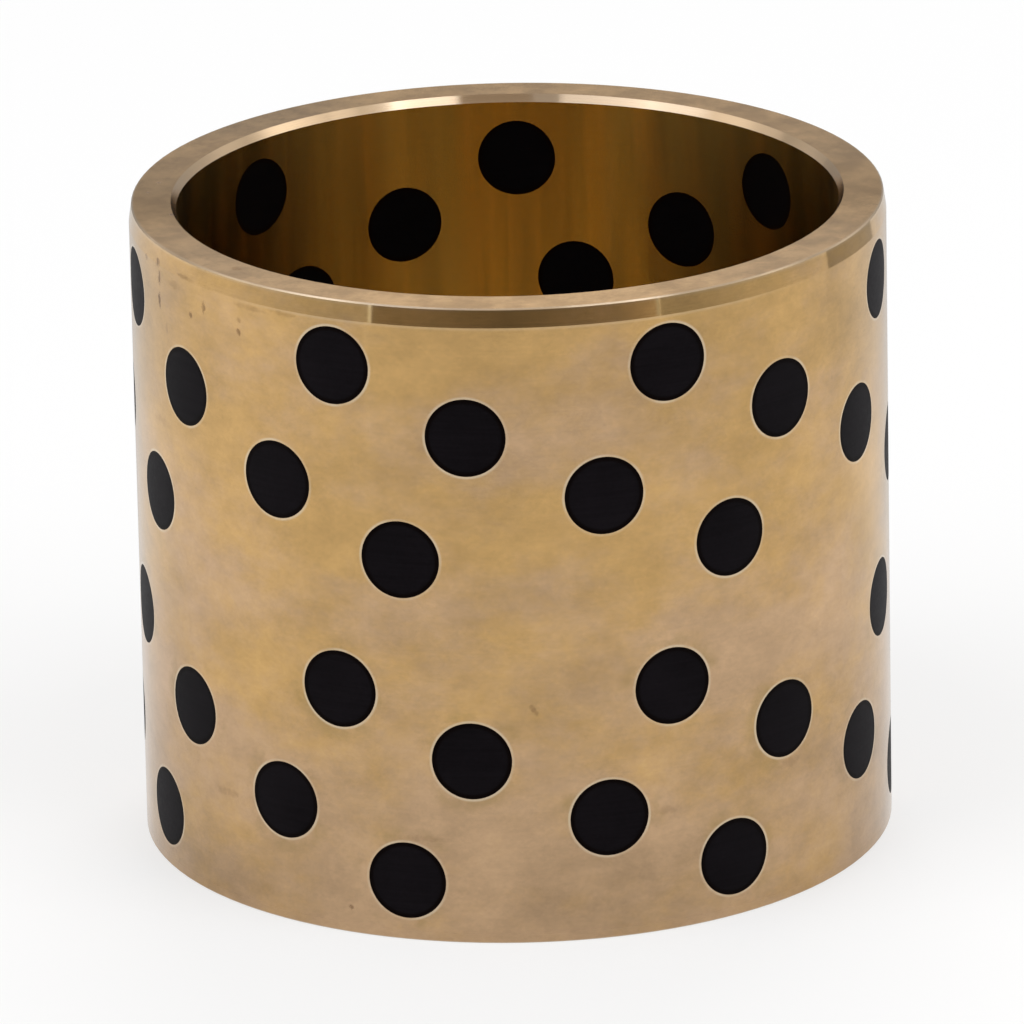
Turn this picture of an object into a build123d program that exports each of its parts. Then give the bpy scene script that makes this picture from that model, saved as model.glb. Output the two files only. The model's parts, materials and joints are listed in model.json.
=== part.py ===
from build123d import *
import os

# Plain sleeve bushing of cast bronze with solid graphite plugs pressed through its wall.
# It stands on its plain end, on the XY plane: the bore axis is Z, and the end that enters
# the housing first, with the long shallow lead-in, is at the top. Lengths are in millimetres,
# angles in degrees from +X towards +Y.

# Sleeve
bore_diameter = 70.0
wall = 5.0
length = 69.5                  # nominal 70, faced near the low limit of its tolerance
bore_chamfer_depth = 0.55      # across the end face, at both ends of the bore
bore_chamfer_length = 0.8      # along the bore
lead_in_length = 2.0           # along the outside, at the top
lead_in_depth = 0.28           # across the end face: about 8 degrees
edge_break = 0.15              # outer edges of both end faces

# Plugs
plug_diameter = 8.4
plug_clearance = 0.0           # the plugs are pressed in, with no gap round them
plugs_per_row = 7
row_stagger = 0.4              # each row is turned back by this share of the plugs' spacing
first_plug_angle = -4.4        # plug 1 of the lowest row

# Rows, set out from the plain end
first_row_height = 6.6
row_pitch = 6.8
rows_per_band = 4
band_gap = 15.0                # between the last row of a band and the first of the next

# Values that follow
bore_radius = bore_diameter / 2
outer_radius = bore_radius + wall
plug_spacing = 360 / plugs_per_row
drill_length = 2 * wall        # long enough to cross the wall wherever it is drilled


def sleeve_blank():
    """The turned sleeve before drilling: one profile revolved round the bore axis."""
    chamfer_radius = bore_radius + bore_chamfer_depth
    lead_in_radius = outer_radius - lead_in_depth
    profile = Polyline(
        (chamfer_radius, 0),
        (outer_radius - edge_break, 0),
        (outer_radius, edge_break),
        (outer_radius, length - lead_in_length),
        (lead_in_radius, length - edge_break),
        (lead_in_radius - edge_break, length),
        (chamfer_radius, length),
        (bore_radius, length - bore_chamfer_length),
        (bore_radius, bore_chamfer_length),
        close=True,
    )
    blank = revolve(Plane.XZ * make_face(profile), Axis.Z)
    # The seam of the turned faces lies in the column that no row uses.
    undrilled_angle = first_plug_angle + row_stagger * plug_spacing
    return Rot(Z=undrilled_angle) * blank


def row_heights():
    """Height of every row: bands of rows from the plain end up, clear of the lead-in."""
    band_rise = (rows_per_band - 1) * row_pitch + band_gap
    bands = int(length // band_rise) + 1
    last_height = length - lead_in_length - plug_diameter / 2
    heights = []
    for band in range(bands):
        for row in range(rows_per_band):
            height = first_row_height + band * band_rise + row * row_pitch
            if height < last_height:
                heights.append((height, row))
    return heights


def plug_places():
    """Name of every plug, with the place where its axis crosses the wall."""
    places = {}
    for number, (height, row_in_band) in enumerate(row_heights(), start=1):
        row_angle = first_plug_angle - row_in_band * row_stagger * plug_spacing
        for plug in range(plugs_per_row):
            angle = row_angle + plug * plug_spacing
            middle_of_wall = Pos(bore_radius + wall / 2, 0, 0)
            place = Pos(0, 0, height) * Rot(Z=angle) * middle_of_wall * Rot(Y=90)
            places[f"graphite_plug_row{number}_{plug + 1}"] = place
    return places


def drilled(blank, places):
    """The sleeve with one radial hole through the wall for each plug."""
    drill = Cylinder(plug_diameter / 2, drill_length)
    return blank - [place * drill for place in places.values()]


def plug_at(blank, place):
    """A graphite plug, finished flush with the bore and the outside of the sleeve."""
    rod = Cylinder(plug_diameter / 2 - plug_clearance, drill_length)
    return blank & (place * rod)


def main():
    os.makedirs("parts", exist_ok=True)
    blank = sleeve_blank()
    places = plug_places()
    export_step(drilled(blank, places), "parts/bronze_sleeve.step")
    for name, place in places.items():
        export_step(plug_at(blank, place), f"parts/{name}.step")


main()
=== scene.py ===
"""Graphite plugged bushing: the finishes of its bronze and graphite, the studio and the camera."""
import json
import math

import bpy
from mathutils import Matrix, Vector

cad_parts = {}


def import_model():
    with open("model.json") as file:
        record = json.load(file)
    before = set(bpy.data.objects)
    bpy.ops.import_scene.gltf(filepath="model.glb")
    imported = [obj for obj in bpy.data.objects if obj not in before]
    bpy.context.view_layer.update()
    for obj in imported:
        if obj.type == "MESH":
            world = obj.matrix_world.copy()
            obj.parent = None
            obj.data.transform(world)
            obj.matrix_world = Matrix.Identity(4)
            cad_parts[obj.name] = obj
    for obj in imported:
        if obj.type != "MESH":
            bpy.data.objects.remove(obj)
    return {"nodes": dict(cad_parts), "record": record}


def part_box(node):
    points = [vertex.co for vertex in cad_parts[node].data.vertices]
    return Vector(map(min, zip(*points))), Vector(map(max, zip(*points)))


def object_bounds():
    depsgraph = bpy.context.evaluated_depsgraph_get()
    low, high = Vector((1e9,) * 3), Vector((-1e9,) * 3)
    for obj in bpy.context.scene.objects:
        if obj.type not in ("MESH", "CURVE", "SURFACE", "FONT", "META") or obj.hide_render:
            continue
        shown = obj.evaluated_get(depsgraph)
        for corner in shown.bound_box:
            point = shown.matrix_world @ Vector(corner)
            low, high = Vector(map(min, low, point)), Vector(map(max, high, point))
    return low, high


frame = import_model()
cad_low, cad_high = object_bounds()

# A millimetre, and the sizes read from the frame, in metres
MM = 0.001
LENGTH = cad_high.z - cad_low.z
OUTER_RADIUS = (cad_high.x - cad_low.x) / 2
MOUNTS = {mount["name"]: mount for mount in frame["record"]["mounts"]}
BORE_RADIUS = MOUNTS["bore"]["dims"]["r_mm"] / 1000
SEAT = MOUNTS["outer_seat"]
LEAD_IN_HEIGHT = SEAT["pos_m"][2] + SEAT["dims"]["length_mm"] / 2000
SLEEVE = frame["nodes"]["bronze_sleeve"]
PLUGS = {name: node for name, node in frame["nodes"].items() if name != "bronze_sleeve"}

# Camera: it stands off from the point it aims at, leaning a little
CAMERA_DISTANCE = 1.249
CAMERA_ELEVATION = 19.05
CAMERA_ROLL = -1.15
CAMERA_LENS = 412.0
CAMERA_SENSOR = 36
CAMERA_FAR_CLIP = 20
CAMERA_AIM = Vector((-0.16 * MM, 0, LENGTH / 2 - 0.97 * MM))


# ---------------------------------------------------------------- plug pattern

def plug_axes():
    """Every plug's angle round the bore axis, from the front, and its height, as the sleeve has them."""
    axes = {}
    for name in PLUGS:
        low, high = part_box(name)
        middle = (Vector(low) + Vector(high)) / 2
        axes[name] = (math.atan2(middle.x, -middle.y), middle.z)
    return axes


AXES = plug_axes()
ROW_HEIGHTS = sorted({round(height, 5) for angle, height in AXES.values()})
ROWS_PER_BAND = 4
BAND_ROWS = ROW_HEIGHTS[:ROWS_PER_BAND]
BAND_RISE = ROW_HEIGHTS[ROWS_PER_BAND] - ROW_HEIGHTS[0]
BAND_GAP = BAND_RISE - (BAND_ROWS[-1] - BAND_ROWS[0])
# Plugs whose heights differ by less than this are in one row
SAME_ROW = 0.01 * MM
PLUG_RADIUS = max(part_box(name)[1][2] - AXES[name][1] for name in PLUGS)
PLUGS_PER_ROW = len(PLUGS) // len(ROW_HEIGHTS)
PLUG_SPACING = 2 * math.pi / PLUGS_PER_ROW


# ---------------------------------------------------------------- shader building

class Socket:
    """A node's output that adds Math nodes when Python arithmetic is done on it."""

    def __init__(self, tree, output):
        self.tree = tree
        self.output = output

    def maths(self, operation, *values):
        return self.tree.node("ShaderNodeMath", {"operation": operation}, *values).value

    def __add__(self, other):
        return self.maths("ADD", self, other)

    def __radd__(self, other):
        return self.maths("ADD", other, self)

    def __sub__(self, other):
        return self.maths("SUBTRACT", self, other)

    def __rsub__(self, other):
        return self.maths("SUBTRACT", other, self)

    def __mul__(self, other):
        return self.maths("MULTIPLY", self, other)

    def __rmul__(self, other):
        return self.maths("MULTIPLY", other, self)

    def __truediv__(self, other):
        return self.maths("DIVIDE", self, other)

    def __rtruediv__(self, other):
        return self.maths("DIVIDE", other, self)

    def __pow__(self, other):
        return self.maths("POWER", self, other)

    def __rpow__(self, other):
        return self.maths("POWER", other, self)


class Outputs:
    """A node's outputs by name: node.color, node.value, node.bsdf."""

    def __init__(self, tree, made):
        self.tree = tree
        self.made = made

    def __getattr__(self, name):
        for output in self.made.outputs:
            if output.enabled and output.name.lower().replace(" ", "_") == name:
                return Socket(self.tree, output)
        raise AttributeError(f"{self.made.bl_idname} has no output {name}")


class Tree:
    """The nodes of a material or of the world."""

    def __init__(self, owner):
        owner.use_nodes = True
        self.nodes = owner.node_tree.nodes
        self.links = owner.node_tree.links
        self.nodes.clear()

    def node(self, kind, settings=None, *values, **named):
        """Add a node: its settings first, then its sockets' values or links, in order or by name."""
        made = self.nodes.new(kind)
        for name, value in (settings or {}).items():
            if name == "stops":
                self.set_stops(made.color_ramp, value)
            else:
                setattr(made, name, value)
        free = [socket for socket in made.inputs if socket.enabled]
        by_name = {socket.name.lower().replace(" ", "_"): socket for socket in free}
        pairs = list(zip(free, values)) + [(by_name[name], value) for name, value in named.items()]
        for socket, value in pairs:
            if isinstance(value, Socket):
                self.links.new(value.output, socket)
            elif value is not None:
                socket.default_value = value
        return Outputs(self, made)

    def set_stops(self, ramp, stops):
        while len(ramp.elements) < len(stops):
            ramp.elements.new(1)
        for element, (position, colour) in zip(ramp.elements, stops):
            element.position = position
            element.color = colour

    def surface(self, shader):
        self.node("ShaderNodeOutputMaterial", None, shader)


def rgb(red, green, blue):
    """A colour picked in 0 to 255, as linear values with alpha."""
    def linear(level):
        level = level / 255
        return level / 12.92 if level <= 0.04045 else ((level + 0.055) / 1.055) ** 2.4
    return (linear(red), linear(green), linear(blue), 1)


def grey(level):
    return (level, level, level, 1)


WHITE = grey(1)


def smallest(first, second):
    return first.maths("MINIMUM", first, second)


def largest(first, second):
    return first.maths("MAXIMUM", first, second)


def size_of(value):
    return value.maths("ABSOLUTE", value)


def wrapped(value, low, high):
    """A value brought between low and high by whole turns."""
    return value.maths("WRAP", value, high, low)


def turn_of(x, y):
    """The angle round the bore axis in radians: 0 is the front, and it grows to the right."""
    return x.maths("ARCTAN2", x, y * -1)


def ramp_up(value, low, high, top=1.0):
    """0 below low, top above high, smooth between; falls instead where low is above high."""
    settings = {"interpolation_type": "SMOOTHSTEP"}
    if low <= high:
        return value.tree.node("ShaderNodeMapRange", settings, value, low, high, 0.0, top).result
    return value.tree.node("ShaderNodeMapRange", settings, value, high, low, top, 0.0).result


def read_off(value, levels):
    """The level at a value from 0 to 1, read off a list of places and their levels."""
    stops = [(at, grey(level)) for at, level in levels]
    return value.tree.node("ShaderNodeValToRGB", {"stops": stops}, value).color


def blend(factor, first, second):
    """Two colours mixed by a factor."""
    settings = {"data_type": "RGBA", "clamp_factor": True}
    return factor.tree.node("ShaderNodeMix", settings, factor, first, second).result


def shaded(colour, amount):
    """A colour made lighter or darker all over by a factor."""
    vector = colour[:3] if isinstance(colour, tuple) else colour
    return amount.tree.node("ShaderNodeVectorMath", {"operation": "SCALE"}, vector, scale=amount).vector


# How far a surface's normal points along the axis: on the end faces, and on chamfers and broken edges
FACE_TILT = (0.85, 0.95)
BEVEL_TILT = (0.4, 0.5)
BEVEL_END_TILT = (0.85, 0.75)
# How deep under the bore's or the outside's surface a point still belongs to it
BORE_DEPTH = (0.08 * MM, 0.03 * MM)
OUTSIDE_DEPTH = (0.6 * MM, 0.5 * MM)
LEAD_IN_SOFTNESS = 0.05 * MM
# Turning lines: their pitch, and how far they wander, over how broad a noise
FEED_PITCH = 0.2 * MM
WANDER = 0.8
WANDER_SCALE = 0.05


class Place:
    """Where a point of the bushing lies: round the axis, along it and out from it."""

    def __init__(self, tree):
        self.tree = tree
        self.point = tree.node("ShaderNodeTexCoord").object
        parts = tree.node("ShaderNodeSeparateXYZ", None, self.point)
        self.height = parts.z
        self.radius = (parts.x * parts.x + parts.y * parts.y) ** 0.5
        self.angle = turn_of(parts.x, parts.y)
        facing = tree.node("ShaderNodeSeparateXYZ", None, tree.node("ShaderNodeNewGeometry").normal)
        tilt = size_of(facing.z)
        self.end_face = ramp_up(tilt, *FACE_TILT)
        self.bevel = ramp_up(tilt, *BEVEL_TILT) * ramp_up(tilt, *BEVEL_END_TILT)
        bore_edges = [BORE_RADIUS + depth for depth in BORE_DEPTH]
        self.inside = ramp_up(self.radius, *bore_edges) * (1 - self.bevel)
        outside_edges = [OUTER_RADIUS - depth for depth in OUTSIDE_DEPTH]
        self.outside = ramp_up(self.radius, *outside_edges) * (1 - self.end_face)
        lead_in_edges = (LEAD_IN_HEIGHT - LEAD_IN_SOFTNESS, LEAD_IN_HEIGHT + LEAD_IN_SOFTNESS)
        self.lead_in = ramp_up(self.height, *lead_in_edges) * self.outside

    def texture(self, dimensions, **values):
        return self.tree.node("ShaderNodeTexNoise", {"noise_dimensions": dimensions}, **values).fac

    def noise(self, scale, detail=2.0, roughness=0.5, shift=(0, 0, 0)):
        """Noise on the point in millimetres, finer with scale."""
        in_mm = (1 / MM, 1 / MM, 1 / MM)
        moved = self.tree.node("ShaderNodeMapping", None, self.point, shift, (0, 0, 0), in_mm)
        return self.texture("3D", vector=moved.vector, scale=scale, detail=detail, roughness=roughness)

    def unrolled_noise(self, along, across, detail, roughness, shift=0.0):
        """Noise on the wall laid flat: along the circumference and along the axis, sizes in millimetres."""
        flat = self.tree.node(
            "ShaderNodeCombineXYZ", None,
            self.angle * (OUTER_RADIUS / (along * MM)),
            self.height / (across * MM),
            self.radius / (across * MM) + shift,
        ).vector
        return self.texture("3D", vector=flat, scale=1.0, detail=detail, roughness=roughness)

    def turning_lines(self):
        """Fine turning lines: noise that changes along the tool's feed only."""
        feed = self.height * (1 - self.end_face) + self.radius * self.end_face
        wander = self.noise(WANDER_SCALE, detail=1.0) * WANDER
        return self.texture("1D", w=feed / FEED_PITCH + wander, scale=1.0, detail=1.0, roughness=0.6)

    def plug_distance(self):
        """Millimetres from the rim of the nearest plug, measured on the wall: negative on a plug."""
        lowest = BAND_ROWS[0] - BAND_GAP / 2
        folded = wrapped(self.height, lowest, lowest + BAND_RISE)
        nearest = None
        for row_height in BAND_ROWS:
            row_angle = min(angle for angle, height in AXES.values() if abs(height - row_height) < SAME_ROW)
            turned = wrapped(self.angle - row_angle, -PLUG_SPACING / 2, PLUG_SPACING / 2)
            sideways = turned.maths("SINE", turned) * self.radius
            upward = folded - row_height
            square = sideways * sideways + upward * upward
            nearest = square if nearest is None else smallest(nearest, square)
        return (nearest ** 0.5 - PLUG_RADIUS) / MM


# ---------------------------------------------------------------- marks and stretches

# Broad patches of the wall where the bronze is paler, more golden or duller: angle from the front in
# degrees, height, and half sizes across and up in mm, and how much
PALE_PATCHES = [
    (-49.0, 20.0, 6.0, 3.5, 0.7),
    (-37.0, 53.5, 5.0, 3.5, 0.6),
    (-14.0, 28.0, 6.0, 3.0, 0.5),
    (4.0, 55.0, 8.0, 5.0, 0.7),
    (8.0, 9.5, 9.0, 3.5, 0.4),
    (33.5, 27.5, 6.5, 4.5, 1.0),
    (38.0, 11.0, 6.0, 3.0, 0.5),
]
GOLDEN_PATCHES = [
    (-46.0, 30.0, 6.0, 4.0, 0.5),
    (-25.0, 43.5, 9.0, 4.0, 0.8),
    (-14.0, 64.0, 7.0, 5.0, 0.8),
    (18.0, 38.5, 5.0, 5.0, 0.7),
    (38.5, 53.0, 6.0, 5.0, 0.9),
    (48.0, 36.0, 6.0, 4.0, 0.6),
]
DULL_PATCHES = [
    (-67.0, 60.0, 15.0, 10.0, 1.0),
    (-60.0, 4.0, 16.0, 5.0, 0.5),
    (14.0, 6.0, 12.0, 6.0, 0.5),
    (-14.0, 34.0, 6.0, 4.0, 0.4),
    (64.0, 60.0, 12.0, 10.0, 0.5),
]

# Casting pits and small marks on the wall: angle, height, half sizes and how dark, as above
WALL_MARKS = [
    (-71.1, 67.3, 0.45, 0.40, 0.45),
    (-66.3, 67.6, 0.50, 0.50, 0.90),
    (-65.8, 66.0, 0.40, 0.80, 0.70),
    (-65.9, 63.6, 0.40, 0.95, 0.75),
    (-63.5, 61.0, 0.35, 0.70, 0.25),
    (-60.5, 66.3, 1.20, 0.50, 0.22),
    (-57.5, 67.7, 1.40, 0.28, 0.35),
    (-52.5, 65.3, 0.34, 0.65, 0.65),
    (-56.0, 63.9, 0.34, 0.34, 0.60),
    (-44.5, 65.2, 0.34, 0.36, 0.35),
    (-44.6, 63.9, 0.36, 0.40, 0.65),
    (-26.4, 2.8, 0.28, 0.28, 0.60),
    (2.0, 26.2, 0.28, 0.34, 0.22),
    (2.4, 25.8, 0.28, 0.34, 0.28),
    (2.8, 25.4, 0.28, 0.34, 0.28),
    (-67.0, 50.3, 2.60, 0.45, 0.16),
    (-49.5, 12.2, 2.20, 0.50, 0.22),
    (45.2, 15.2, 1.60, 0.60, 0.20),
    (-14.0, 11.4, 2.40, 0.40, 0.14),
    (22.5, 13.4, 1.60, 0.50, 0.16),
    (-42.0, 66.9, 2.40, 0.34, 0.20),
    (-36.0, 67.1, 2.00, 0.28, 0.24),
]

# Marks on the end face: angle, radius, and half sizes round it and outwards in mm, and how dark
FACE_MARKS = [
    (-99.1, 37.4, 0.40, 0.30, 0.55),
    (-93.7, 38.1, 0.35, 0.30, 0.55),
    (-49.1, 37.3, 0.90, 0.50, 0.45),
    (79.9, 38.9, 0.20, 1.00, 0.35),
    (-81.1, 35.6, 0.60, 0.35, 0.75),
]

# The square of how far a mark's soft edge reaches, in its half sizes
MARK_REACH = 1.5

# Stretches round the axis with painted light and shade, lighter or duller: middle and half width in degrees,
# how much
# Painted light and shade on the end face, lighter and duller by angle
FACE_PAINTED_LIGHT_AND_SHADE = [(0, 43, 0.21), (-55, 14, -0.08), (-84, 12, 0.17), (87, 22, 0.26), (-138, 20, -0.22)]
# Painted shade along the bore's sides
BORE_PAINTED_SHADE = [(-112, 45, -0.5), (112, 45, -0.18)]
# The share of a stretch's half width over which it has its whole strength
WHOLE_SHARE = 1 / 3


def marks(place, level, listed, raggedness=None):
    """How far a point lies within any of the listed marks, with soft edges that may be ragged."""
    tree = place.tree
    here = tree.node("ShaderNodeCombineXYZ", None, place.angle, level).vector
    deepest = None
    for angle, middle, half_width, half_height, strength in listed:
        scale = Vector((OUTER_RADIUS / (half_width * MM), 1 / (half_height * MM), 0))
        start = Vector((-math.radians(angle) * scale.x, -middle * MM * scale.y, 0))
        away = tree.node("ShaderNodeVectorMath", {"operation": "MULTIPLY_ADD"}, here, scale, start).vector
        square = tree.node("ShaderNodeVectorMath", {"operation": "DOT_PRODUCT"}, away, away).value
        if raggedness is not None:
            square = square + raggedness
        mark = ramp_up(square, MARK_REACH, 0.0, strength)
        deepest = mark if deepest is None else largest(deepest, mark)
    return deepest


def stretches(place, listed):
    """How much painted light or shade each stretch round the axis puts on a surface, with soft ends."""
    total = None
    for middle, half_width, amount in listed:
        from_middle = size_of(place.angle - math.radians(middle))
        end = math.radians(half_width)
        part = ramp_up(from_middle, end, end * WHOLE_SHARE, amount)
        total = part if total is None else total + part
    return total


# ---------------------------------------------------------------- bronze

GOLDEN = rgb(190, 154, 100)
LILAC = rgb(186, 155, 121)
FACE_TAN = rgb(200, 160, 106)
FACE_BROWN = rgb(182, 142, 88)
BEVEL_TAN = rgb(201, 174, 141)
BORE_GOLD = rgb(229, 187, 96)
# Pale rims round the holes, also the colour of painted highlights and wear on edges
PALE_RIM_AND_HIGHLIGHT = rgb(210, 194, 169)
STAIN_OLIVE = rgb(149, 125, 78)
PIT_BROWN = rgb(108, 74, 48)

# The wall's clouds: where they turn from golden to lilac, and what moves that
CLOUD_EDGES = (0.32, 0.68)
GOLDER_UPWARDS = 0.24
PATCH_PULL = 0.14
# How deep the wall's shading goes, in shares of its brightness
SHADE_DEPTH = 0.9
STREAK_DEPTH = 0.05
DULL_DEPTH = 0.2
# Painted light: how much lighter the lead-in's colour is
LEAD_IN_PAINTED_LIGHT = 0.08
# Painted shade: the wall is darker towards its foot: from and to which height, and how much
PAINTED_FOOT_SHADE = (LENGTH * 0.45, LENGTH * 0.06, 0.08)
# The end face's blotches: where they turn from brown to tan, its brightness and how deep they go
BLOTCH_EDGES = (0.34, 0.66)
FACE_LEVEL = 0.94
BLOTCH_DEPTH = 0.6
BORE_BAND_DEPTH = 0.9


def wall_colour(place):
    """Ground outside wall: golden, clouded with a greyer lilac, with faint streaks round it."""
    clouds = place.unrolled_noise(along=18, across=12, detail=6, roughness=0.68)
    shade = place.unrolled_noise(along=12, across=9, detail=6, roughness=0.8, shift=7)
    streaks = place.unrolled_noise(along=16, across=0.5, detail=3, roughness=0.6, shift=3)
    golder = (place.height / LENGTH - 0.5) * GOLDER_UPWARDS
    pale = marks(place, place.height, PALE_PATCHES) - marks(place, place.height, GOLDEN_PATCHES)
    colour = blend(ramp_up(clouds - golder + pale * PATCH_PULL, *CLOUD_EDGES), GOLDEN, LILAC)
    dull = marks(place, place.height, DULL_PATCHES)
    level = 1 + (shade - 0.5) * SHADE_DEPTH + (streaks - 0.5) * STREAK_DEPTH
    # Painted shade: darker towards the foot
    level = level - dull * DULL_DEPTH - ramp_up(place.height, *PAINTED_FOOT_SHADE)
    # Painted light: the lead-in's colour made lighter
    return shaded(colour, level * (1 + place.lead_in * LEAD_IN_PAINTED_LIGHT))


def face_colour(place):
    """Turned end faces: a browner tan, softly blotched, with painted light and shade along some stretches.
    """
    blotches = place.noise(scale=0.2, detail=5, roughness=0.66)
    colour = blend(ramp_up(blotches, *BLOTCH_EDGES), FACE_BROWN, FACE_TAN)
    level = FACE_LEVEL + (blotches - 0.5) * BLOTCH_DEPTH
    # Painted light and shade along stretches round the axis
    return shaded(colour, level + stretches(place, FACE_PAINTED_LIGHT_AND_SHADE))


def bore_colour(place):
    """Bored wall: deep gold, in faint bands that run along the axis, with painted shade darkening both
    sides.
    """
    bands = place.unrolled_noise(along=4, across=90, detail=4, roughness=0.66, shift=5)
    level = 1 + (bands - 0.5) * BORE_BAND_DEPTH
    # Painted shade darkening the bore's sides
    return shaded(BORE_GOLD, level + stretches(place, BORE_PAINTED_SHADE))


# Stains round the plugs: from and to how many mm from the rim, how patchy, mostly below, how strong
STAIN_REACH = (2.4, 0.6)
STAIN_EDGES = (0.48, 0.66)
STAIN_HEIGHTS = (LENGTH * 0.62, LENGTH * 0.45)
STAIN_ABOVE = 0.2
STAIN_STRENGTH = 0.4
# Light rims round the holes: their width in mm, how patchy, and how strong at least and in addition
RIM_REACH = (0.36, 0.12)
RIM_EDGES = (0.4, 0.6)
RIM_LEAST = 0.25
RIM_MORE = 0.4


def round_the_plugs(place, colour):
    """The light rim that finishing left round each hole, and the olive stains round some."""
    distance = place.plug_distance()
    patchy = place.noise(scale=0.16, detail=4, roughness=0.65, shift=(3, 1, 8))
    below = STAIN_ABOVE + (1 - STAIN_ABOVE) * ramp_up(place.height, *STAIN_HEIGHTS)
    stain = ramp_up(distance, *STAIN_REACH) * ramp_up(patchy, *STAIN_EDGES) * below * place.outside
    colour = blend(stain * STAIN_STRENGTH, colour, STAIN_OLIVE)
    strength = RIM_LEAST + RIM_MORE * ramp_up(patchy, *RIM_EDGES)
    return blend(ramp_up(distance, *RIM_REACH) * strength * place.outside, colour, PALE_RIM_AND_HIGHLIGHT)


# Edges lighter in colour: a painted highlight at the end of the wall below the lead-in, over which angles,
# and the rim of the end face, partly wear and partly painted highlight
PAINTED_HIGHLIGHT_HEIGHTS = (LEAD_IN_HEIGHT - 0.4 * MM, LEAD_IN_HEIGHT - 0.1 * MM)
PAINTED_HIGHLIGHT_ANGLES = (math.radians(50), math.radians(30))
RIM_RADII = (OUTER_RADIUS - 0.75 * MM, OUTER_RADIUS - 0.4 * MM)
RIM_HEIGHTS = (LENGTH - 0.5 * MM, LENGTH - 0.2 * MM)
WORN_AND_HIGHLIT_EDGE_STRENGTH = 0.2


def worn_and_highlit_edges(place, colour):
    """Edges made lighter: a painted highlight below the lead-in at the front, and rims partly worn and
    partly a painted highlight.
    """
    # Painted highlight: a light line below the lead-in, at the front only
    painted_edge_highlight = ramp_up(place.height, *PAINTED_HIGHLIGHT_HEIGHTS) * (1 - place.lead_in)
    painted_edge_highlight = painted_edge_highlight * ramp_up(size_of(place.angle), *PAINTED_HIGHLIGHT_ANGLES) * place.outside
    rim = ramp_up(place.radius, *RIM_RADII) * place.end_face
    rim = rim + ramp_up(place.height, *RIM_HEIGHTS) * place.lead_in
    return blend((painted_edge_highlight + rim) * WORN_AND_HIGHLIT_EDGE_STRENGTH, colour, PALE_RIM_AND_HIGHLIGHT)


# Pits: how strong their brown is, and how ragged their edges are
PIT_STRENGTH = 0.85
PIT_RAGGEDNESS = 3
PIT_RAGGED_MIDDLE = 0.45
# Roughness of the bronze, and how much smoother or rougher its parts are
BRONZE_ROUGHNESS = 0.155
FACE_SMOOTHER = 0.02
BORE_ROUGHER = 0.03
PIT_ROUGHER = 0.3
LINES_ROUGHER = 0.05
LEAD_IN_SMOOTHER = 0.05
EDGE_ROUGHER = 0.1
# How deep the turning lines are, in metres
TURNING_LINE_DEPTH = 1.6e-6
# The turning lines draw the gloss out across them: how far, and a quarter turn from the way they run
GLOSS_DRAWN_OUT = 1.0
ACROSS_THE_LINES = 0.25


def bronze_material():
    material = bpy.data.materials.new("turned_bronze")
    tree = Tree(material)
    place = Place(tree)

    colour = blend(place.outside, face_colour(place), wall_colour(place))
    colour = blend(place.bevel, colour, BEVEL_TAN)
    colour = blend(place.inside, colour, bore_colour(place))
    colour = round_the_plugs(place, colour)
    colour = worn_and_highlit_edges(place, colour)

    ragged = (place.noise(scale=1.6, detail=2, shift=(4, 7, 1)) - PIT_RAGGED_MIDDLE) * PIT_RAGGEDNESS
    pits = marks(place, place.height, WALL_MARKS, ragged) * place.outside
    pits = pits + marks(place, place.radius, FACE_MARKS, ragged) * place.end_face
    colour = blend(pits * PIT_STRENGTH, colour, PIT_BROWN)

    lines = place.turning_lines()
    roughness = BRONZE_ROUGHNESS - place.end_face * FACE_SMOOTHER + place.inside * BORE_ROUGHER
    roughness = roughness + pits * PIT_ROUGHER + (lines - 0.5) * LINES_ROUGHER
    roughness = roughness - place.lead_in * LEAD_IN_SMOOTHER + place.bevel * place.outside * EDGE_ROUGHER
    bump = tree.node("ShaderNodeBump", None, strength=1.0, distance=TURNING_LINE_DEPTH, height=lines)
    shader = tree.node(
        "ShaderNodeBsdfPrincipled", None,
        base_color=colour, metallic=1.0, roughness=roughness, normal=bump.normal,
        anisotropic=GLOSS_DRAWN_OUT, anisotropic_rotation=ACROSS_THE_LINES,
    )
    tree.surface(shader.bsdf)
    return material


# ---------------------------------------------------------------- graphite

GRAPHITE = rgb(21, 18, 21)
RIM_BLACK = rgb(7, 2, 1)
PLUG_SHEEN = (1.0, 0.94, 0.92, 1)
PLUG_GLOSS = 0.033
# How deep the grain, the clouds and the grinding lines go, in shares of the graphite's brightness
GRAIN_DEPTH = 0.6
CLOUD_DEPTH = 1.0
LINE_DEPTH = 0.8
# How much blacker the plugs' ends in the bore are, as painted shade, and the dark rim just inside each plug,
# in mm
BORE_END_PAINTED_SHADE = 0.75
DARK_RIM = (-0.65, -0.25)
DARK_RIM_STRENGTH = 0.95
GRAPHITE_ROUGHNESS = 0.5
GRAIN_ROUGHER = 0.2
# How deep the ground surface is, in metres, and how much of the grain shows in it
GRIND_DEPTH = 8e-6
GRAIN_SHARE = 0.5


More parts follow.
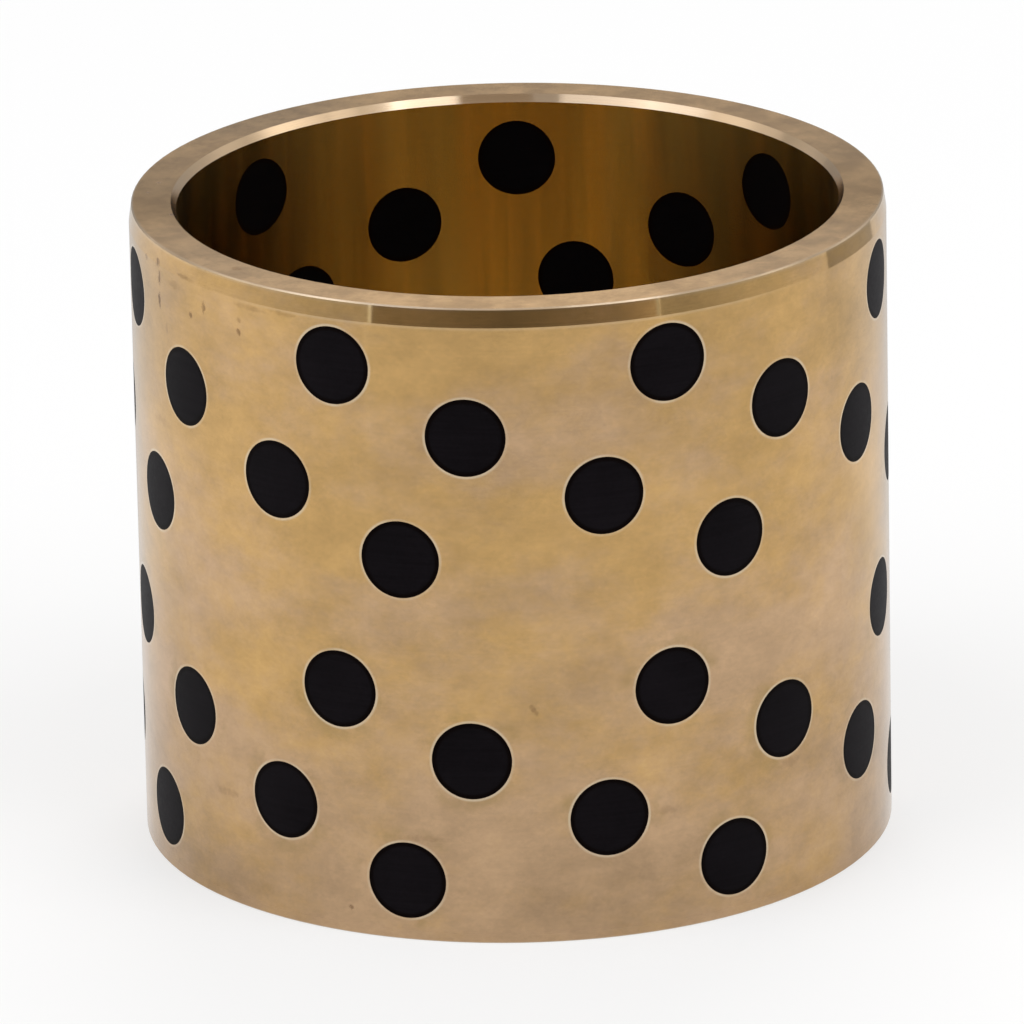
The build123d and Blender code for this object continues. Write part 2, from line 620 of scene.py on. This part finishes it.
def graphite_material():
    material = bpy.data.materials.new("ground_graphite")
    tree = Tree(material)
    place = Place(tree)
    grain = place.noise(scale=2.2, detail=4, roughness=0.6)
    cloud = place.noise(scale=0.12, detail=3, roughness=0.5, shift=(5, 2, 1))
    lines = place.unrolled_noise(along=9, across=0.35, detail=3, roughness=0.65, shift=11)
    level = 1 + (grain - 0.5) * GRAIN_DEPTH + (cloud - 0.5) * CLOUD_DEPTH + (lines - 0.5) * LINE_DEPTH
    # Painted shade on the plugs' ends in the bore
    colour = shaded(shaded(GRAPHITE, level), 1 - place.inside * BORE_END_PAINTED_SHADE)
    dark_rim = ramp_up(place.plug_distance(), *DARK_RIM)
    colour = blend(dark_rim * DARK_RIM_STRENGTH, colour, RIM_BLACK)
    roughness = GRAPHITE_ROUGHNESS + (grain - 0.5) * GRAIN_ROUGHER
    ground = grain * GRAIN_SHARE + lines
    bump = tree.node("ShaderNodeBump", None, strength=1.0, distance=GRIND_DEPTH, height=ground)
    shader = tree.node(
        "ShaderNodeBsdfPrincipled", None,
        base_color=colour, metallic=0.0, roughness=roughness, normal=bump.normal,
        specular_ior_level=PLUG_GLOSS, specular_tint=PLUG_SHEEN,
    )
    tree.surface(shader.bsdf)
    return material


def dress(node, material):
    node.data.materials.clear()
    node.data.materials.append(material)


# ---------------------------------------------------------------- reflection cards

def out(azimuth, distance, height):
    """A point round the object: azimuth 0 is the camera's side, and it grows to the right."""
    angle = math.radians(azimuth)
    return Vector((math.sin(angle) * distance, -math.cos(angle) * distance, height))


def flat_square(half, height):
    return [(x * half, y * half, height) for x, y in ((-1, -1), (1, -1), (1, 1), (-1, 1))]


def sheet(rows, count):
    """The faces of a sheet whose corners are listed row by row, count to a row."""
    return [
        (low * count + i, low * count + i + 1, (low + 1) * count + i + 1, (low + 1) * count + i)
        for low in range(rows - 1) for i in range(count - 1)]


ONE_FACE = [(0, 1, 2, 3)]


def reflection_card(name, corners, faces, glow, colour=WHITE, cover=None):
    """A card that only reflections see. Its glow is a number, or is made in its tree by a function.

    Where a function makes its cover, that is the share of what lies behind that the card hides."""
    mesh = bpy.data.meshes.new(name)
    mesh.from_pydata(corners, [], faces)
    card = bpy.data.objects.new(name, mesh)
    bpy.context.scene.collection.objects.link(card)
    material = bpy.data.materials.new(name)
    tree = Tree(material)
    if callable(glow):
        glowing = shaded(colour, glow(tree))
        surface = tree.node("ShaderNodeEmission", None, color=glowing, strength=1.0).emission
    else:
        surface = tree.node("ShaderNodeEmission", None, color=colour, strength=glow).emission
    if cover is not None:
        behind = tree.node("ShaderNodeBsdfTransparent").bsdf
        surface = tree.node("ShaderNodeMixShader", None, cover(tree), behind, surface).shader
    tree.surface(surface)
    mesh.materials.append(material)
    material.cycles.emission_sampling = "NONE"
    card.visible_camera = False
    card.visible_diffuse = False
    card.visible_shadow = False
    card.visible_transmission = False


def card_point(tree):
    return tree.node("ShaderNodeTexCoord").object


def by_azimuth(tree, levels):
    """The level at the azimuth of a point of a card, with levels listed over the whole circle."""
    parts = tree.node("ShaderNodeSeparateXYZ", None, card_point(tree))
    share = turn_of(parts.x, parts.y) / (2 * math.pi) + 0.5
    return read_off(share, [(0.5 + azimuth / 360, level) for azimuth, level in levels])


def from_axis(tree):
    """How far a point of a card on the floor is from the bore axis."""
    return tree.node("ShaderNodeVectorMath", {"operation": "LENGTH"}, card_point(tree)).value


# The tent: its cloth's radius and top, and how bright it is by azimuth, from behind round its left side
TENT_RADIUS = 0.62
TENT_TOP = 0.30
TENT_AZIMUTHS = range(44, 321, 4)
TENT_GLOW = [
    (-180, 0.4), (-150, 0.4), (-132, 0.71), (-108, 0.78), (-96, 0.76), (-84, 0.82), (-72, 0.7), (-58, 0.59),
    (-42, 0.54), (44, 0.36), (60, 0.45), (72, 0.57), (84, 0.68), (96, 0.63), (108, 0.61), (120, 0.7),
    (150, 0.5), (180, 0.4),
]
# The opening, where the room is dark: its front, its left and right hems, and how bright it is across
OPENING_FRONT = -0.45
LEFT_HEM = -0.377
RIGHT_HEM = 0.416
HEM_WIDTH = 0.014
HEM_GLOW = {"left": 1.15, "right": 0.6}
HEM_BLUE = (0.85, 0.97, 1.15, 1)
ROOM_WARMTH = (1.0, 0.88, 0.78, 1)
ROOM_GLOW = [(LEFT_HEM, 0.21), (-0.2, 0.25), (0.0, 0.13), (0.2, 0.238), (0.32, 0.302), (RIGHT_HEM, 0.454)]
# Above this height the room is one even glow
ROOM_LOW_TOP = 0.13
ROOM_HIGH_GLOW = 0.36
# The light that each hem lets in lies along the floor as a streak towards the object, narrower there
STREAK_START = 0.4
STREAK_NEAR_WIDTH = HEM_WIDTH / 3
STREAK_RISE = 0.0005
STREAK_GLOW = 1.35
# The roof: its height, half width, front and back, and how bright it is
ROOF_HEIGHT = 0.95
ROOF_HALF = 0.16
ROOF_FRONT = -0.1
ROOF_BACK = 0.4
ROOF_GLOW = 1.6


def standing_card(name, foot, head, low, high, glow, colour=WHITE):
    """A card that stands across the opening: left and right ends at its foot and at its head."""
    corners = [(foot[0], low), (foot[1], low), (head[1], high), (head[0], high)]
    reflection_card(name, [(x, OPENING_FRONT, z) for x, z in corners], ONE_FACE, glow, colour)


def tent():
    """A light tent round the object, open towards the camera, where the room is dark."""
    corners = [out(azimuth, TENT_RADIUS, height) for height in (0, TENT_TOP) for azimuth in TENT_AZIMUTHS]
    faces = sheet(2, len(TENT_AZIMUTHS))
    reflection_card("tent_cloth", corners, faces, lambda tree: by_azimuth(tree, TENT_GLOW))

    def room(tree):
        parts = tree.node("ShaderNodeSeparateXYZ", None, card_point(tree))
        return read_off(parts.x + 0.5, [(0.5 + x, level) for x, level in ROOM_GLOW])

    opening = (LEFT_HEM, RIGHT_HEM)
    roof_ends = (-ROOF_HALF, ROOF_HALF)
    standing_card("room_low", opening, opening, 0, ROOM_LOW_TOP, room, ROOM_WARMTH)
    high = (ROOM_LOW_TOP, ROOF_HEIGHT)
    standing_card("room_high", opening, roof_ends, *high, ROOM_HIGH_GLOW, ROOM_WARMTH)
    roof = [(x, ROOF_FRONT, ROOF_HEIGHT) for x in roof_ends]
    roof += [(x, ROOF_BACK, ROOF_HEIGHT) for x in roof_ends[::-1]]
    reflection_card("roof", roof, ONE_FACE, ROOF_GLOW)
    hems = {"left": (LEFT_HEM - HEM_WIDTH, LEFT_HEM), "right": (RIGHT_HEM, RIGHT_HEM + HEM_WIDTH)}
    for side, hem in hems.items():
        standing_card(f"{side}_hem", hem, hem, 0, TENT_TOP, HEM_GLOW[side], HEM_BLUE)
        towards = Vector((hem[0], OPENING_FRONT, 0)) * STREAK_START
        near = [towards + Vector((shift, 0, STREAK_RISE)) for shift in (0, STREAK_NEAR_WIDTH)]
        far = [Vector((x, OPENING_FRONT, STREAK_RISE)) for x in hem]
        reflection_card(f"{side}_streak", near + far[::-1], ONE_FACE, STREAK_GLOW)


# Patches overhead: pieces of a sphere round the back of the bore's upper edge, which mirrors them.
# Name, azimuths, elevations and brightness; a board is darker than what lies behind it
PATCH_MIDDLE = Vector((0, BORE_RADIUS, LENGTH))
PATCH_DISTANCE = 0.43
PATCH_STEPS = 6
PATCH_COLOUR = (0.98, 1.05, 1.2, 1)
PATCHES = [
    ("right_patch", (18.6, 47), (34, 51.2), 3.1),
    ("right_high_patch", (46, 64), (53, 60), 2.3),
    ("left_patch", (-62, -21.6), (34, 49.2), 2.3),
    ("left_high_board", (-56, -12), (50.6, 65), 0.7),
    ("left_high_patch", (-84, -62), (36, 58), 2.0),
]


def between(ends, steps):
    """Evenly spaced values from one end to the other."""
    return [ends[0] + (ends[1] - ends[0]) * (step / steps) for step in range(steps + 1)]


def patch(name, azimuths, elevations, brightness):
    corners = []
    for elevation in between(elevations, PATCH_STEPS):
        distance = PATCH_DISTANCE * math.cos(math.radians(elevation))
        height = PATCH_DISTANCE * math.sin(math.radians(elevation))
        turns = between(azimuths, PATCH_STEPS)
        corners += [PATCH_MIDDLE + out(turn, distance, height) for turn in turns]
    faces = sheet(PATCH_STEPS + 1, PATCH_STEPS + 1)
    reflection_card(name, corners, faces, brightness, PATCH_COLOUR)


# Cards that stand bowed round the object: name, azimuths, heights, distance and brightness
BOW_STEPS = 8
UPPER_WALL = (TENT_TOP, 0.68)
HIGH_WALL = (0.615, 1.3)
MIDDLE_WALL = (0.42, 1.3)
BACK_WALL = (0.282, 0.72)
LOW_BOARD = (0.0, 0.045)
BOWED_CARDS = [
    ("right_side_glow", (62, 103), UPPER_WALL, 0.66, 1.95),
    ("left_side_glow", (-105, -72), UPPER_WALL, 0.66, 1.45),
    ("left_back_board", (-140, -119), UPPER_WALL, 0.64, 0.55),
    ("right_top_board", (76, 112), HIGH_WALL, 0.63, 0.6),
    ("right_back_board", (112, 150), MIDDLE_WALL, 0.63, 0.55),
    ("left_top_board", (-150, -84), HIGH_WALL, 0.63, 0.85),
    ("back_wall_glow", (140, 220), BACK_WALL, 0.61, 1.15),
    ("right_low_board", (104, 135), LOW_BOARD, 0.28, 0.5),
]


def bowed_card(name, azimuths, heights, distance, brightness):
    turns = between(azimuths, BOW_STEPS)
    corners = [out(turn, distance, height) for height in heights for turn in turns]
    reflection_card(name, corners, sheet(2, len(turns)), brightness)


# Pools of light on the floor to the left and right: how bright, by azimuth, and how much they cover
POOL_GLOW = [
    (-180, 0.95), (-160, 1.0), (-136, 1.22), (-118, 1.52), (-90, 1.62), (-70, 1.42), (-52, 0.95),
    (66, 0.95), (84, 1.12), (100, 1.32), (124, 1.35), (144, 1.02), (156, 0.95),
]
POOL_COVER = 0.3
POOL_FADE = (2 * OUTER_RADIUS, 4 * OUTER_RADIUS)
POOL_RISE = 0.0008
# How much a dark sheet on the floor behind the object covers, by azimuth: a painted shadow
SHADOW_SHEET_COVER = [
    (-180, 0.28), (-160, 0.26), (-144, 0.12), (-128, 0.0), (128, 0.0), (144, 0.13), (160, 0.24), (180, 0.28),
]
SHADOW_SHEET_RISE = 0.001
FLOOR_CARD_HALF = 0.55


def floor_cards():
    """Pools of light on both sides, fading out near the object, and a painted shadow behind it: a dark sheet
    over the floor.
    """
    def pool_glow(tree):
        return by_azimuth(tree, POOL_GLOW)

    def pool_cover(tree):
        return ramp_up(from_axis(tree), *POOL_FADE, POOL_COVER)

    def shadow_sheet_cover(tree):
        return by_azimuth(tree, SHADOW_SHEET_COVER)

    pools = flat_square(FLOOR_CARD_HALF, POOL_RISE)
    shadow_sheet = flat_square(FLOOR_CARD_HALF, SHADOW_SHEET_RISE)
    reflection_card("floor_pools", pools, ONE_FACE, pool_glow, cover=pool_cover)
    # Painted shadow: a dark sheet over the floor behind the object
    reflection_card("floor_film", shadow_sheet, ONE_FACE, 0.0, cover=shadow_sheet_cover)


# How bright the floor inside the bore is painted, by the share of the bore's radius: painted light, dark
# near the wall as painted shade
BORE_FLOOR_PAINTED_LIGHT_AND_SHADE = [(0.0, 0.7), (0.3, 0.6), (0.55, 0.36), (0.8, 0.13), (1.0, 0.05)]
BORE_FLOOR_SIDES = 48
BORE_FLOOR_RISE = 0.0005


def bore_floor():
    """The floor inside the bore as its wall mirrors it: painted light that darkens towards the wall as
    painted shade.
    """
    def glow(tree):
        return read_off(from_axis(tree) / BORE_RADIUS, BORE_FLOOR_PAINTED_LIGHT_AND_SHADE)

    turns = [360 * side / BORE_FLOOR_SIDES for side in range(BORE_FLOOR_SIDES)]
    corners = [out(turn, BORE_RADIUS, BORE_FLOOR_RISE) for turn in turns]
    reflection_card("bore_floor", corners, [tuple(range(BORE_FLOOR_SIDES))], glow)


# ---------------------------------------------------------------- studio

# Lamps: name, azimuth, elevation, half width and half height in degrees from the object, and brightness
SOFTBOX_DISTANCE = 1.2
SOFTBOXES = [
    ("right_softbox", 50, 55, 16, 20, 3.0),
    ("left_softbox", -56, 55, 16, 20, 3.0),
    ("back_softbox", 172, 50, 14, 14, 3.9),
]
# How strongly the world lights the object; where it is seen or mirrored it is white
WORLD_LIGHT = 0.42
# The floor: how pale its paper is, and the strength added where it is seen or mirrored, 1 being white
FLOOR_HALF = 3.0
FLOOR_PAPER = 0.36
FLOOR_LIFT = 0.58


def placed(azimuth, elevation, distance, aim, roll=0.0):
    """The matrix of a camera or lamp that stands off from aim and looks at it. Azimuth 0 is the front."""
    turn = Matrix.Rotation(math.radians(azimuth), 4, "Z")
    tilt = Matrix.Rotation(math.radians(90 - elevation), 4, "X")
    back = Matrix.Translation((0, 0, distance))
    lean = Matrix.Rotation(math.radians(roll), 4, "Z")
    return Matrix.Translation(aim) @ turn @ tilt @ back @ lean


def softbox(name, azimuth, elevation, half_width, half_height, brightness):
    data = bpy.data.lights.new(name, "AREA")
    data.shape = "RECTANGLE"
    data.size = 2 * SOFTBOX_DISTANCE * math.tan(math.radians(half_width))
    data.size_y = 2 * SOFTBOX_DISTANCE * math.tan(math.radians(half_height))
    data.energy = brightness * math.pi * data.size * data.size_y
    lamp = bpy.data.objects.new(name, data)
    lamp.matrix_world = placed(azimuth, elevation, SOFTBOX_DISTANCE, Vector((0, 0, LENGTH / 2)))
    lamp.visible_glossy = False
    bpy.context.scene.collection.objects.link(lamp)


def seen_directly(tree):
    """1 for camera, glossy and transmission rays, 0 for light that falls on something."""
    path = tree.node("ShaderNodeLightPath")
    return largest(largest(path.is_camera_ray, path.is_glossy_ray), path.is_transmission_ray)


def floor():
    mesh = bpy.data.meshes.new("floor")
    mesh.from_pydata(flat_square(FLOOR_HALF, 0), [], ONE_FACE)
    slab = bpy.data.objects.new("floor", mesh)
    bpy.context.scene.collection.objects.link(slab)
    material = bpy.data.materials.new("white_floor")
    tree = Tree(material)
    paper = tree.node("ShaderNodeBsdfDiffuse", None, color=grey(FLOOR_PAPER))
    lift = tree.node("ShaderNodeEmission", None, color=WHITE, strength=seen_directly(tree) * FLOOR_LIFT)
    both = tree.node("ShaderNodeAddShader", None, paper.bsdf, lift.emission)
    tree.surface(both.shader)
    mesh.materials.append(material)


def world():
    sky = bpy.data.worlds.new("studio")
    bpy.context.scene.world = sky
    tree = Tree(sky)
    strength = WORLD_LIGHT + seen_directly(tree) * (1 - WORLD_LIGHT)
    background = tree.node("ShaderNodeBackground", None, color=WHITE, strength=strength)
    tree.node("ShaderNodeOutputWorld", None, background.background)
    sky.cycles.sampling_method = "NONE"


def camera():
    data = bpy.data.cameras.new("camera")
    data.lens = CAMERA_LENS
    data.sensor_width = CAMERA_SENSOR
    data.clip_end = CAMERA_FAR_CLIP
    eye = bpy.data.objects.new("camera", data)
    bpy.context.scene.collection.objects.link(eye)
    eye.matrix_world = placed(0, CAMERA_ELEVATION, CAMERA_DISTANCE, CAMERA_AIM, CAMERA_ROLL)
    bpy.context.scene.camera = eye


def studio():
    world()
    floor()
    tent()
    floor_cards()
    bore_floor()
    for lamp in SOFTBOXES:
        softbox(*lamp)
    for card in PATCHES:
        patch(*card)
    for card in BOWED_CARDS:
        bowed_card(*card)
    bpy.context.scene.view_settings.view_transform = "Standard"


dress(SLEEVE, bronze_material())
graphite = graphite_material()
for plug in PLUGS.values():
    dress(plug, graphite)
studio()
camera()
